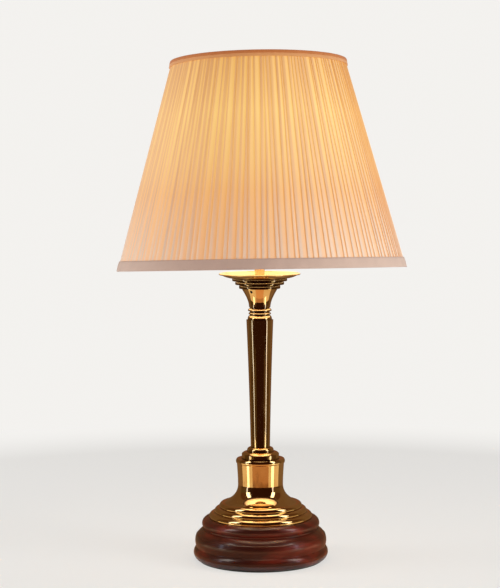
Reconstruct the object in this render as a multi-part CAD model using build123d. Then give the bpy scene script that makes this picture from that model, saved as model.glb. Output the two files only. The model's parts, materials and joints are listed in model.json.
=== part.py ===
from build123d import *
import math
import os

# A candlestick table lamp: a turned wooden plinth, a spun brass foot, a tapered brass column with a
# stepped drip pan, and a pleated cloth shade that hangs on a tilting ring above the bulb.
# Millimetres, Z up. The origin is the centre of the underside, on the surface the lamp stands on,
# and the lamp is seen from the front along +Y. Everything is stacked on one hollow threaded rod,
# so each piece stands on the height where the one below it ends.

# ---- fits ----
slip = 0.15                  # radial room between a bore and what it is slid over
running = 0.05               # radial room of a shaft or pin that turns or slides in its hole
lift = 0.05                  # room between two flat faces that turn on each other

# ---- pad and wooden plinth ----
pad_radius = 72.0
pad_thickness = 1.2
plinth_radius = 78.2         # widest, at the middle of the bottom bead
bottom_bead_height = 14.4
bottom_bead_swell = 3.0      # how far the bead stands out past its upper edge
bottom_bead_tuck = 2.0       # its lower edge lies this much further in
middle_bead_inset = 1.8      # the middle bead is this much narrower than the bottom one
middle_bead_height = 13.6
middle_bead_swell = 1.3
crease_height = 0.5
ovolo_step = 0.9             # small step under the quarter round
ovolo_height = 6.2
ovolo_reach = 7.1            # how far the quarter round draws in
ovolo_swell = 0.7
notch_depth = 0.9
notch_height = 1.2
top_bead_height = 11.6
top_bead_reach = 3.6         # how far the top bead draws in to the flat top
top_bead_swell = 3.8
recess_radius = 30.0         # hollow under the plinth for the nut and the terminals
recess_height = 24.8

# ---- cord inlet at the back of the plinth ----
inlet_height = 16.0          # height of its axis over the surface
inlet_bore = 7.0
bush_wall = 1.3
bush_length = 14.5
bush_flange_radius = 6.6
bush_flange_thickness = 2.0
spotface_clearance = 0.3     # radial room round the flange in its spot face

# ---- spun foot ----
foot_wall = 1.2
lip_radius = 60.0            # the lip that sits on the wood
lip_height = 1.2
low_bead_height = 4.8
low_bead_reach = 4.6
low_bead_swell = 1.5
low_cove_reach = 1.8
cove_height = 0.7
mid_bead_height = 5.0
mid_bead_reach = 3.0
mid_bead_swell = 1.2
mid_cove_reach = 2.6
high_bead_height = 5.0
high_bead_reach = 2.5
high_bead_swell = 1.0
flare_height = 21.0          # the hollow sweep from the beads up to the neck
flare_reach = 19.3
flare_low_pull = 9.0         # how far its lower end runs out nearly flat
flare_low_rise = 2.0
flare_high_pull = 12.0       # how far its upper end runs straight down
neck_height = 24.8
neck_flare = 1.2             # the neck widens by this much up to the rim
rim_step = 0.7
rim_height = 4.9
rim_swell = 0.7

# ---- collars and column ----
lower_collar_radius = 21.7
lower_collar_height = 8.0
lower_collar_shoulder = 2.6  # height of the rounded shoulder over the collar's upright face
lower_collar_top_radius = 16.0
upper_collar_radius = 15.4
upper_collar_height = 5.0
upper_collar_shoulder = 3.0
upper_collar_top_radius = 12.2
shoulder_swell = 0.9
spigot_height = 3.0          # the spigots that centre the column at both ends
column_length = 148.4
column_bottom_radius = 11.2
column_top_radius = 15.6
column_hollow = 0.45         # how far the taper curves in from a straight line
column_wall = 1.2
column_lip = 2.0             # the top edge of the column is turned in by this much
column_lip_height = 2.0

# ---- ringed neck and bell under the pan ----
ring_a_radius = 14.0
ring_a_height = 4.7
ring_b_radius = 12.9
ring_b_height = 2.3
ring_c_radius = 13.6
ring_c_height = 2.8
groove_radius = 11.6
groove_height = 1.6
ring_swell = 0.5
ring_slope = 1.3             # each ring of the neck draws in by this much to its upper edge
bell_bottom_radius = 12.4
bell_top_radius = 20.8
bell_height = 21.4
bell_wall = 2.2
bell_floor = 3.0
bell_low_pull = 8.0          # how far the bell rises straight before it opens
grub_hole_radius = 1.6
grub_drop = 3.2              # the hole's axis under the top edge of the bell
grub_turn = -30.5            # degrees round from the front, towards the left
grub_length = 3.0
grub_recess = 1.0

# ---- stepped ring and drip pan ----
step_radii = (23.9, 28.3, 31.8)
step_heights = (3.6, 3.2, 3.2)
step_gap = 1.0               # groove between two steps
step_groove_depth = 2.6
step_swell = 0.3
pan_wall = 1.0
pan_floor_radius = 33.0
pan_rim_radius = 46.0
pan_rise = 3.9               # height of the rim's centre over the pan's floor
pan_sag = 0.9
pan_bead_radius = 1.1

# ---- centre rod, its nuts and the sleeve over it ----
rod_radius = 5.0
rod_bore_radius = 3.7
rod_tail = 5.0               # rod below the nut
washer_radius = 14.0
washer_thickness = 2.0
nut_across_flats = 17.0
nut_thickness = 6.0
sleeve_radius = 5.85
sleeve_length = 56.0

# ---- terminals and inner leads ----
block_length = 24.0
block_width = 10.0
block_height = 12.0
block_offset = 15.0          # from the rod's axis to the near side of the block
terminal_pitch = 7.0
terminal_screw_radius = 1.8
terminal_screw_length = 3.0
lead_radius = 0.9
lead_ring = 1.6              # the three leads lie on this circle inside the rod
lead_bend = 6.0
lead_dip = 8.0               # how far the leads hang below the block
lead_fan = 8.0               # how far out the leads spread inside the lampholder
lead_fan_bend = 3.0

# ---- lampholder ----
holder_radius = 19.5
holder_wall = 1.0
boss_radius = 8.5
boss_height = 5.0
dome_height = 6.5
dome_swell = 1.8
cap_height = 25.0            # from the sleeve to the joint with the outer shell
cap_ledge = 1.5              # ledge that carries the insert
ledge_drop = 3.5             # the ledge lies this much below the cap's edge
holder_nut_flats = 14.0
holder_nut_thickness = 4.5
holder_rod_tail = 1.0
shell_height = 31.0
insert_floor = 8.0
insert_height = 27.0
insert_seat_radius = 14.3
screw_shell_wall = 0.7
screw_shell_height = 23.0
screw_shell_flange = 3.0
plunger_radius = 3.0
plunger_height = 10.0
plunger_proud = 3.0          # plunger above the floor of the insert
switch_bar_radius = 2.2
switch_bar_length = 49.0
switch_bar_offset = 11.0     # from the lamp's axis, towards the front
switch_bar_drop = 8.0        # its axis under the cap's edge
switch_travel = 4.0
switch_tip_radius = 3.2
switch_tip_length = 3.0

# ---- bulb ----
bulb_length = 105.0
globe_radius = 30.0
bulb_neck_radius = 12.6
bulb_cap_radius = 13.0
bulb_cap_height = 17.0
bulb_skirt_radius = 13.4
bulb_skirt_height = 4.5
bulb_tip_radius = 4.6
bulb_tip_height = 1.2
bulb_insulator_height = 2.4
bulb_insulator_radius = 9.5
glass_wall = 0.8
glass_tuck = 4.0             # glass inside the cap
stem_radius = 4.5
stem_length = 40.0
filament_count = 4
filament_radius = 0.9
filament_length = 30.0
filament_circle = 9.0
filament_lean = 2.5          # sideways offset of each end

# ---- shade rings and wire carrier ----
clamp_ring_radius = 27.0
clamp_ring_height = 4.0
clamp_ring_drop = 2.0        # lower clamp ring, over the joint of the holder
carrier_ring_radius = 31.0
carrier_ring_thickness = 1.6
wire_radius = 1.5
carrier_wire_foot = 29.0     # distance of the wires from the axis at their foot
carrier_wire_reach = 41.0    # and round the bulb
carrier_wire_count = 4
carrier_wire_head = 13.0     # and at the hub
carrier_height = 119.0       # from the carrier's ring to its hub
carrier_shoulder = 26.0      # the wires reach their full width this far above the ring
carrier_neck = 36.0          # and draw in again this far below the hub
carrier_bend = 7.0
hub_radius = 15.0
hub_thickness = 3.0
hub_spigot_radius = 8.0
hub_spigot_height = 10.0
carrier_nut_radius = 11.0
carrier_nut_height = 4.6
knurl_count = 24
knurl_depth = 0.5

# ---- tilting ring ----
gimbal_plate_radius = 20.0
gimbal_plate_thickness = 4.0
gimbal_ring_bore = 44.0
gimbal_ring_wall = 3.0
gimbal_ring_height = 6.0
pin_radius = 1.4
pin_sunk = 5.0               # pin inside the plate
pin_proud = 0.6              # pin past the ring

# ---- shade ----
shade_bottom_radius = 165.0
shade_top_radius = 99.2
shade_height = 238.4
shade_rise = 35.2            # top edge above the tilting pins
pleat_count = 144
pleat_depth = 1.5
pleat_step = 0.16            # share of a pleat that its folded edge takes
pleat_wander = 0.16          # unevenness of the pleats, in pleats
cover_backing = 0.8          # cloth behind the folds
ring_wire_radius = 1.6
strut_radius = 1.2
strut_count = 6
ring_inset = 3.6             # wire rings above the hem and below the top edge
frame_gap = 0.25
lining_thickness = 0.6
lining_gap = 0.4
arm_radius = 1.4
arm_count = 4
top_trim_height = 7.0
hem_trim_height = 11.5
trim_thickness = 0.9
trim_lap = 0.4               # the upper strip of the top trim stands this much further out
shade_tilt = 2.79            # degrees that the shade leans at rest, its front edge up
tilt_axis_turn = 14.5        # degrees from the lamp's left-right line to the line of the pins

# ---- heights of the stack ----
plinth_top = (pad_thickness + bottom_bead_height + crease_height + middle_bead_height
              + crease_height + ovolo_height + notch_height + top_bead_height)
foot_top = (plinth_top + lip_height + low_bead_height + cove_height + mid_bead_height + cove_height
            + high_bead_height + flare_height + neck_height + rim_step + rim_height)
lower_collar_top = foot_top + lower_collar_height
upper_collar_top = lower_collar_top + upper_collar_height
column_top = upper_collar_top + column_length
neck_top = column_top + ring_a_height + ring_b_height + ring_c_height + 3 * groove_height
bell_top = neck_top + bell_height
steps_top = bell_top + sum(step_heights) + step_gap * (len(step_heights) - 1)
pan_floor = steps_top + pan_wall
sleeve_top = pan_floor + sleeve_length
recess_top = pad_thickness + recess_height
rod_bottom = recess_top - washer_thickness - nut_thickness - rod_tail
cap_floor = sleeve_top + boss_height + holder_wall
rod_top = cap_floor + holder_nut_thickness + holder_rod_tail
cap_top = sleeve_top + cap_height
insert_bottom = cap_top - ledge_drop
insert_floor_top = insert_bottom + insert_floor
plunger_top = insert_floor_top + plunger_proud
bulb_bottom = plunger_top
bulb_cap_bottom = bulb_bottom + bulb_tip_height + bulb_insulator_height
bulb_skirt_bottom = bulb_cap_bottom + bulb_cap_height
bulb_skirt_top = bulb_skirt_bottom + bulb_skirt_height
globe_centre = bulb_bottom + bulb_length - globe_radius
clamp_bottom = cap_top + clamp_ring_drop
carrier_ring_bottom = clamp_bottom + clamp_ring_height
carrier_ring_top = carrier_ring_bottom + carrier_ring_thickness
hub_bottom = carrier_ring_top + carrier_height
hub_top = hub_bottom + hub_thickness
pin_height = hub_top + lift + gimbal_plate_thickness / 2
shade_top = pin_height + shade_rise
shade_bottom = shade_top - shade_height
gimbal_ring_radius = gimbal_ring_bore / 2 + gimbal_ring_wall
tilt_axis = Axis((0, 0, pin_height), (math.cos(math.radians(tilt_axis_turn)),
                                      math.sin(math.radians(tilt_axis_turn)), 0))


class Outline:
    """A half section, drawn edge by edge in the plane through the axis, then turned about it."""

    def __init__(self, r, z):
        self.start = self.here = Vector(r, 0, z)
        self.edges = []

    def line(self, r, z):
        there = Vector(r, 0, z)
        if (there - self.here).length > 1e-6:
            self.edges.append(Edge.make_line(self.here, there))
        self.here = there
        return self

    def bulge(self, r, z, swell):
        """An arc to (r, z) that swells out by the given height, or in where it is negative."""
        there = Vector(r, 0, z)
        along = (there - self.here).normalized()
        outward = Vector(along.Z, 0, -along.X)
        middle = (self.here + there) * 0.5 + outward * swell
        self.edges.append(Edge.make_three_point_arc(self.here, middle, there))
        self.here = there
        return self

    def sweep(self, first, second, r, z):
        """A smooth curve to (r, z), drawn towards two (r, z) handles."""
        there = Vector(r, 0, z)
        handles = [Vector(p[0], 0, p[1]) for p in (first, second)]
        self.edges.append(Edge.make_bezier(self.here, *handles, there))
        self.here = there
        return self

    def turned(self):
        self.line(self.start.X, self.start.Z)
        return revolve(make_face(Wire(self.edges)), Axis.Z)


def rod(radius, low, high):
    """A plain upright cylinder between two heights."""
    return Pos(0, 0, (low + high) / 2) * Cylinder(radius, high - low)


def tube(radius, bore_radius, low, high):
    return rod(radius, low, high) - rod(bore_radius, low - 1, high + 1)


def hex_nut(across_flats, bore_radius, low, high):
    face = RegularPolygon(across_flats / 2, 6, major_radius=False)
    return extrude(Pos(0, 0, low) * face, high - low) - rod(bore_radius, low - 1, high + 1)


def bar(start, end, radius):
    """A straight round bar between two points."""
    start, end = Vector(*start), Vector(*end)
    plane = Plane(origin=start, z_dir=(end - start))
    return extrude(plane * Circle(radius), (end - start).length)


def bent_wire(points, bends, radius):
    """A round wire along straight runs joined by tangent arcs."""
    path = FilletPolyline(*points, radius=bends)
    section = Plane(origin=path @ 0, z_dir=path % 0) * Circle(radius)
    return sweep(section, path=path)


def around(count, piece, start_angle=0.0):
    return [Rot(0, 0, start_angle + 360 * i / count) * piece for i in range(count)]


def leaned(piece):
    """Turn a piece of the shade to the angle that the shade hangs at."""
    return piece.rotate(tilt_axis, -shade_tilt)


# ---- plinth ----

def make_base_pad():
    return rod(pad_radius, 0, pad_thickness)


def plinth_profile():
    edge = plinth_radius - bottom_bead_swell
    z = pad_thickness
    outline = Outline(0, z).line(edge - bottom_bead_tuck, z)
    z += bottom_bead_height
    outline.bulge(edge, z, bottom_bead_swell + bottom_bead_tuck / 2)
    edge = plinth_radius - middle_bead_inset - middle_bead_swell
    z += crease_height
    outline.line(edge, z)
    z += middle_bead_height
    outline.bulge(edge, z, middle_bead_swell)
    edge -= ovolo_step
    z += crease_height
    outline.line(edge, z)
    edge -= ovolo_reach
    z += ovolo_height
    outline.bulge(edge, z, ovolo_swell)
    edge -= notch_depth
    outline.line(edge, z)
    z += notch_height
    outline.line(edge, z)
    edge -= top_bead_reach
    z += top_bead_height
    outline.bulge(edge, z, top_bead_swell)
    return outline.line(0, z)


def make_plinth():
    body = plinth_profile().turned()
    body -= rod(recess_radius, 0, recess_top)
    body -= rod(rod_radius + slip, 0, plinth_top + 1)
    bush_radius = inlet_bore / 2 + bush_wall
    body -= bar((0, recess_radius - 8, inlet_height), (0, plinth_radius + 5, inlet_height),
                bush_radius + slip)
    spotface = bar((0, inlet_face(), inlet_height), (0, plinth_radius + 5, inlet_height),
                   bush_flange_radius + spotface_clearance)
    return body - spotface


def inlet_face():
    """Distance from the axis to the spot face that the bush's flange sits on."""
    return plinth_radius - bottom_bead_swell - bush_flange_thickness / 2


def make_cord_bush():
    face = inlet_face()
    body = bar((0, face - bush_length, inlet_height), (0, face, inlet_height),
               inlet_bore / 2 + bush_wall)
    body += bar((0, face, inlet_height), (0, face + bush_flange_thickness, inlet_height),
                bush_flange_radius)
    return body - bar((0, face - bush_length - 1, inlet_height),
                      (0, face + bush_flange_thickness + 1, inlet_height), inlet_bore / 2)


# ---- brass foot ----

def foot_side(outline, inset):
    """The foot's side from its lip up to the rim, or the inner wall where inset is the wall."""
    r = lip_radius - inset
    z = plinth_top + lip_height - inset / 2
    outline.line(r, z)
    beads = ((low_bead_reach, low_bead_height, low_bead_swell, low_cove_reach),
             (mid_bead_reach, mid_bead_height, mid_bead_swell, mid_cove_reach),
             (high_bead_reach, high_bead_height, high_bead_swell, 0.0))
    for reach, height, swell, cove in beads:
        r -= reach
        z += height
        outline.bulge(r, z, swell)
        if cove:
            r -= cove
            z += cove_height
            outline.line(r, z)
    low_r, low_z = r, z
    r -= flare_reach
    z += flare_height
    outline.sweep((low_r - flare_low_pull, low_z + flare_low_rise), (r, z - flare_high_pull), r, z)
    third = neck_height / 3
    outline.sweep((r, z + third), (r + neck_flare / 2, z + 2 * third), r + neck_flare,
                  z + neck_height)
    r += neck_flare
    z += neck_height
    outline.line(r + rim_step, z + rim_step)
    return r + rim_step, z + rim_step


def make_foot():
    outer = Outline(0, plinth_top).line(lip_radius, plinth_top)
    r, z = foot_side(outer, 0.0)
    body = outer.bulge(r - rim_step, foot_top, rim_swell).line(0, foot_top).turned()
    inner = Outline(0, plinth_top).line(lip_radius - foot_wall, plinth_top)
    r, z = foot_side(inner, foot_wall)
    body -= inner.line(r - rim_step, foot_top - foot_wall).line(0, foot_top - foot_wall).turned()
    return body - rod(rod_radius + slip, plinth_top, foot_top + 1)


# ---- collars and column ----

def collar(radius, low, shoulder, top_radius, high):
    """A ring with an upright face and a rounded shoulder that draws in to its top."""
    outline = Outline(rod_radius + slip, low).line(radius, low).line(radius, high - shoulder)
    outline.bulge(top_radius, high, shoulder_swell)
    return outline.line(rod_radius + slip, high).turned()


def make_lower_collar():
    return collar(lower_collar_radius, foot_top, lower_collar_shoulder, lower_collar_top_radius,
                  lower_collar_top)


def make_upper_collar():
    body = collar(upper_collar_radius, lower_collar_top, upper_collar_shoulder,
                  upper_collar_top_radius, upper_collar_top)
    spigot_radius = column_bottom_radius - column_wall - slip
    return body + tube(spigot_radius, rod_radius + slip, upper_collar_top,
                       upper_collar_top + spigot_height)


def make_column():
    lip_low = column_top - column_lip_height
    outline = Outline(column_bottom_radius - column_wall, upper_collar_top)
    outline.line(column_bottom_radius, upper_collar_top)
    outline.bulge(column_top_radius, column_top, -column_hollow)
    outline.line(column_top_radius - column_wall - column_lip, column_top)
    outline.line(column_top_radius - column_wall - column_lip, lip_low)
    outline.line(column_top_radius - column_wall, lip_low)
    return outline.bulge(column_bottom_radius - column_wall, upper_collar_top, column_hollow).turned()


def make_neck():
    """Three rings with grooves between them, on a spigot that drops into the column."""
    bore = rod_radius + slip
    spigot = column_top_radius - column_wall - column_lip - slip
    z = column_top
    outline = Outline(bore, z - spigot_height).line(spigot, z - spigot_height).line(spigot, z)
    for radius, height in ((ring_a_radius, ring_a_height), (ring_b_radius, ring_b_height),
                           (ring_c_radius, ring_c_height)):
        outline.line(radius, z)
        z += height
        outline.bulge(radius - ring_slope, z, ring_swell)
        outline.line(groove_radius, z)
        z += groove_height
        outline.line(groove_radius, z)
    return outline.line(bore, z).turned()


def bell_side(outline, inset):
    """The bell's flaring side, from its foot to its top edge."""
    reach = bell_top_radius - bell_bottom_radius
    return outline.sweep((bell_bottom_radius - inset, neck_top + bell_low_pull),
                         (bell_top_radius - inset - reach * 0.3, bell_top - bell_height * 0.22),
                         bell_top_radius - inset, bell_top)


def grub_frame():
    """A plane at the grub screw: its z axis points out of the bell."""
    turn = math.radians(grub_turn - 90)
    return Plane(origin=(0, 0, bell_top - grub_drop), z_dir=(math.cos(turn), math.sin(turn), 0))


def make_capital_bell():
    outer = Outline(0, neck_top).line(bell_bottom_radius, neck_top)
    body = bell_side(outer, 0.0).line(0, bell_top).turned()
    inner = Outline(0, neck_top).line(bell_bottom_radius - bell_wall, neck_top)
    hollow = bell_side(inner, bell_wall).line(0, bell_top).turned()
    body -= hollow - rod(bell_top_radius, neck_top - 1, neck_top + bell_floor)
    body -= rod(rod_radius + slip, neck_top - 1, bell_top + 1)
    return body - extrude(grub_frame() * Circle(grub_hole_radius), bell_top_radius + 2)


def make_grub_screw():
    depth = bell_top_radius - grub_recess - 1.2
    blank = extrude(grub_frame().offset(depth - grub_length) * Circle(grub_hole_radius - running),
                    grub_length)
    slot = Box(2 * grub_hole_radius, 0.5, 1.2)
    return blank - grub_frame().offset(depth) * slot


# ---- stepped ring, pan and sleeve ----

def make_step_ring():
    bore = rod_radius + slip
    z = bell_top
    outline = Outline(bore, z)
    for radius, height in zip(step_radii, step_heights):
        outline.line(radius - step_swell, z)
        z += height
        outline.bulge(radius - step_swell, z, step_swell)
        if radius != step_radii[-1]:
            outline.line(radius - step_groove_depth, z)
            z += step_gap
            outline.line(radius - step_groove_depth, z)
    return outline.line(bore, z).turned()


def make_drip_pan():
    low = steps_top
    bore = rod_radius + slip
    rim_z = pan_floor + pan_rise
    dish = Outline(bore, low).line(pan_floor_radius, low)
    dish.bulge(pan_rim_radius, rim_z, pan_sag)
    dish.line(pan_rim_radius - pan_wall, rim_z + pan_wall / 2)
    dish.bulge(pan_floor_radius - pan_wall / 2, pan_floor, -pan_sag)
    body = dish.line(bore, pan_floor).turned()
    bead = revolve(Pos(pan_rim_radius, 0, rim_z) * Rot(90, 0, 0) * Circle(pan_bead_radius), Axis.Z)
    return body + bead


def make_riser_sleeve():
    return tube(sleeve_radius, rod_radius + slip, pan_floor, sleeve_top)


# ---- rod, nuts and terminals ----

def make_tie_rod():
    return tube(rod_radius, rod_bore_radius, rod_bottom, rod_top)


def make_rod_washer():
    return tube(washer_radius, rod_radius + slip, recess_top - washer_thickness, recess_top)


def make_rod_nut():
    top = recess_top - washer_thickness
    return hex_nut(nut_across_flats, rod_radius + slip, top - nut_thickness, top)


def block_centre():
    return block_offset + block_width / 2


def make_terminal_block():
    top = recess_top
    body = Pos(0, block_centre(), top - block_height / 2) * Box(block_length, block_width, block_height)
    body = fillet(body.edges().filter_by(Axis.Z), 1.0)
    for i in (-1, 0, 1):
        body -= Pos(i * terminal_pitch, block_centre(), top - block_height) * Cylinder(
            terminal_screw_radius + slip, 2 * terminal_screw_length)
    return body


def make_terminal_screws():
    low = recess_top - block_height
    screws = []
    for i in (-1, 0, 1):
        sleeve = tube(terminal_screw_radius, lead_radius + slip, low, low + terminal_screw_length)
        screws.append(Pos(i * terminal_pitch, block_centre(), 0) * sleeve)
    return Compound(screws)


def make_lead(index):
    """One insulated lead from the terminals, up through the rod, to the lampholder's insert."""
    angle = math.radians((90, 210, 330)[index])
    x, y = lead_ring * math.cos(angle), lead_ring * math.sin(angle)
    block_x = (0, -1, 1)[index] * terminal_pitch
    low = recess_top - block_height
    fan_x, fan_y = lead_fan * math.cos(angle), lead_fan * math.sin(angle)
    rise = insert_bottom - rod_top
    points = [(block_x, block_centre(), low + terminal_screw_length),
              (block_x, block_centre(), low - lead_dip),
              (x, y, low - lead_dip),
              (x, y, rod_top + 0.15 * rise),
              (fan_x, fan_y, rod_top + 0.7 * rise),
              (fan_x, fan_y, insert_bottom)]
    bends = [lead_bend, lead_bend, lead_fan_bend, lead_fan_bend]
    return bent_wire(points, bends, lead_radius)


# ---- lampholder ----

def holder_bar_height():
    return cap_top - switch_bar_drop


def make_holder_cap():
    """Spun brass cap on the rod, with a ledge inside that carries the ceramic insert."""
    inner = holder_radius - holder_wall
    dome_low = sleeve_top + boss_height
    dome_high = dome_low + dome_height
    body = Outline(0, sleeve_top).line(boss_radius, sleeve_top).line(boss_radius, dome_low)
    body = body.bulge(holder_radius, dome_high, dome_swell).line(holder_radius, cap_top)
    body = body.line(0, cap_top).turned()
    hollow = Outline(0, cap_floor).line(boss_radius, cap_floor)
    hollow.bulge(inner - cap_ledge, dome_high + holder_wall, dome_swell)
    hollow.line(inner - cap_ledge, insert_bottom).line(inner, insert_bottom)
    body -= hollow.line(inner, cap_top).line(0, cap_top).turned()
    body -= rod(rod_radius + slip, sleeve_top - 1, cap_floor + 1)
    height = holder_bar_height()
    return body - bar((-holder_radius - 5, -switch_bar_offset, height),
                      (holder_radius + 5, -switch_bar_offset, height), switch_bar_radius + running)


def make_holder_nut():
    return hex_nut(holder_nut_flats, rod_radius + slip, cap_floor, cap_floor + holder_nut_thickness)


def make_holder_shell():
    return tube(holder_radius, holder_radius - holder_wall, cap_top, cap_top + shell_height)


def make_holder_insert():
    outer = holder_radius - holder_wall - slip
    body = rod(outer, insert_bottom, insert_bottom + insert_height)
    body -= rod(insert_seat_radius + slip, insert_floor_top, insert_bottom + insert_height + 1)
    body -= rod(plunger_radius + running, insert_bottom - 1, insert_floor_top + 1)
    return body


def make_screw_shell():
    wall = tube(insert_seat_radius, insert_seat_radius - screw_shell_wall, insert_floor_top,
                insert_floor_top + screw_shell_height)
    return wall + tube(insert_seat_radius, insert_seat_radius - screw_shell_flange,
                       insert_floor_top, insert_floor_top + screw_shell_wall)


def make_centre_contact():
    low = plunger_top - plunger_height
    return rod(plunger_radius, low, plunger_top)


def make_switch_bar():
    height = holder_bar_height()
    half = switch_bar_length / 2
    middle = switch_travel / 2
    body = bar((middle - half, -switch_bar_offset, height), (middle + half, -switch_bar_offset, height),
               switch_bar_radius)
    for side in (-1, 1):
        end = middle + side * half
        body += bar((end, -switch_bar_offset, height),
                    (end + side * switch_tip_length, -switch_bar_offset, height), switch_tip_radius)
    return body


# ---- bulb ----

def make_bulb_contact():
    return rod(bulb_tip_radius, bulb_bottom, bulb_bottom + bulb_tip_height)


def make_bulb_insulator():
    low = bulb_bottom + bulb_tip_height
    return Outline(0, low).line(bulb_tip_radius, low).line(
        bulb_insulator_radius, bulb_cap_bottom).line(0, bulb_cap_bottom).turned()


def make_bulb_cap():
    """The threaded metal cap, closed below and open above, where the glass is cemented in."""
    wall = bulb_cap_radius - bulb_neck_radius + glass_wall
    bore = bulb_cap_radius - wall
    outline = Outline(0, bulb_cap_bottom).line(bulb_insulator_radius, bulb_cap_bottom)
    outline.line(bulb_cap_radius, bulb_cap_bottom + bulb_cap_radius - bulb_insulator_radius)
    outline.line(bulb_cap_radius, bulb_skirt_bottom)
    outline.line(bulb_skirt_radius, bulb_skirt_bottom + bulb_skirt_radius - bulb_cap_radius)
    outline.line(bulb_skirt_radius, bulb_skirt_top)
    tuck_low = bulb_skirt_top - glass_tuck
    outline.line(bulb_neck_radius + slip, bulb_skirt_top).line(bulb_neck_radius + slip, tuck_low)
    outline.line(bore, tuck_low).line(bore, bulb_cap_bottom + 4)
    return outline.line(0, bulb_cap_bottom + 4).turned()


def globe_side(outline, inset):
    """The glass from its neck up round the globe to the crown."""
    low = bulb_skirt_top - glass_tuck
    radius = globe_radius - inset
    neck = bulb_neck_radius - inset
    start = math.radians(-20)
    side_r, side_z = radius * math.cos(start), globe_centre + radius * math.sin(start)
    outline.line(neck, bulb_skirt_top)
    outline.sweep((neck, low + 0.45 * (side_z - low)),
                  (side_r + math.sin(start) * 12, side_z - math.cos(start) * 12), side_r, side_z)
    crown = Vector(0, 0, globe_centre + radius)
    half = math.radians(35)
    middle = Vector(radius * math.cos(half), 0, globe_centre + radius * math.sin(half))
    outline.edges.append(Edge.make_three_point_arc(outline.here, middle, crown))
    outline.here = crown
    return outline


def make_bulb_glass():
    low = bulb_skirt_top - glass_tuck
    outer = globe_side(Outline(0, low).line(bulb_neck_radius, low), 0.0).turned()
    inner = globe_side(Outline(0, low).line(bulb_neck_radius - glass_wall, low), glass_wall).turned()
    return outer - inner


def stem_bottom():
    return bulb_cap_bottom + 4


def make_bulb_stem():
    low = stem_bottom()
    high = low + stem_length
    outline = Outline(0, low).line(stem_radius * 1.6, low)
    outline.sweep((stem_radius * 1.4, low + 12), (stem_radius * 0.6, low + 14),
                  stem_radius * 0.5, high)
    return outline.line(0, high).turned()


def make_filaments():
    """Four glowing sticks that lean on a circle round the stem's head."""
    low = stem_bottom() + stem_length
    hub = rod(stem_radius * 0.5, low, low + 2 * filament_radius)
    foot_height = low + filament_radius
    foot = bar((0, 0, foot_height), (filament_circle, -filament_lean, foot_height),
               filament_radius * 0.6)
    stick = bar((filament_circle, -filament_lean, foot_height - filament_radius),
                (filament_circle, filament_lean, foot_height + filament_length), filament_radius)
    for arm in around(filament_count, foot + stick):
        hub += arm
    return hub


# ---- clamp rings and carrier ----

def clamp_ring(low):
    return tube(clamp_ring_radius, holder_radius + slip, low, low + clamp_ring_height)


def make_clamp_ring_lower():
    return clamp_ring(clamp_bottom)


def make_clamp_ring_upper():
    return clamp_ring(carrier_ring_top)


def make_carrier_ring():
    return tube(carrier_ring_radius, holder_radius + 2 * slip, carrier_ring_bottom, carrier_ring_top)


def make_carrier_wires():
    low = carrier_ring_top
    points = [(carrier_wire_foot, 0, low),
              (carrier_wire_foot, 0, low + carrier_shoulder * 0.35),
              (carrier_wire_reach, 0, low + carrier_shoulder),
              (carrier_wire_reach, 0, hub_bottom - carrier_neck),
              (carrier_wire_head, 0, hub_bottom - carrier_neck * 0.12),
              (carrier_wire_head, 0, hub_bottom)]
    bends = [carrier_bend, carrier_bend, carrier_bend, carrier_bend * 0.5]
    wire = bent_wire(points, bends, wire_radius)
    return Compound(around(carrier_wire_count, wire, 45))


def make_carrier_hub():
    return rod(hub_radius, hub_bottom, hub_top) + rod(hub_spigot_radius, hub_top,
                                                      hub_top + hub_spigot_height)


def make_carrier_nut():
    low = hub_top + gimbal_plate_thickness + 2 * lift
    body = tube(carrier_nut_radius, hub_spigot_radius + slip, low, low + carrier_nut_height)
    groove = Pos(carrier_nut_radius, 0, low + carrier_nut_height / 2) * Cylinder(
        knurl_depth, carrier_nut_height * 2)
    for cut in around(knurl_count, groove):
        body -= cut
    return body


# ---- tilting ring ----

def pin_bar(start, end, radius):
    """A bar on the line of the tilting pins, between two distances from the lamp's axis."""
    direction = tilt_axis.direction
    centre = Vector(0, 0, pin_height)
    return bar(tuple(centre + direction * start), tuple(centre + direction * end), radius)


def make_gimbal_plate():
    low = hub_top + lift
    body = tube(gimbal_plate_radius, hub_spigot_radius + running, low, low + gimbal_plate_thickness)
    for side in (-1, 1):
        body -= pin_bar(side * (gimbal_plate_radius - pin_sunk), side * (gimbal_plate_radius + 5),
                        pin_radius + running)
    return body


def make_gimbal_pins():
    start = gimbal_plate_radius - pin_sunk
    end = gimbal_ring_radius + pin_proud
    return Compound([pin_bar(side * start, side * end, pin_radius) for side in (-1, 1)])


def make_gimbal_ring():
    half = gimbal_ring_height / 2
    body = tube(gimbal_ring_radius, gimbal_ring_bore / 2, pin_height - half, pin_height + half)
    reach = gimbal_ring_radius + 5
    return leaned(body) - pin_bar(-reach, reach, pin_radius + running)


# ---- shade ----

def shade_radius(z, inset=0.0):
    """Radius of the shade's folds at a height, less an inset."""
    share = (z - shade_bottom) / shade_height
    return shade_bottom_radius + (shade_top_radius - shade_bottom_radius) * share - inset


def cone_band(outer_inset, thickness, low, high):
    """A conical band that follows the shade's slope."""
    outline = Outline(shade_radius(low, outer_inset + thickness), low)
    outline.line(shade_radius(low, outer_inset), low).line(shade_radius(high, outer_inset), high)
    return outline.line(shade_radius(high, outer_inset + thickness), high).turned()


def pleat_middle(index):
    """Where a fold stands round the shade, counted in pleats."""
    return index + pleat_wander * math.sin(2.3 * index) + 0.5 * pleat_wander * math.sin(0.37 * index)


def pleat_corner(place, radius, z):
    angle = 2 * math.pi * place / pleat_count
    return radius * math.cos(angle), radius * math.sin(angle), z


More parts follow.
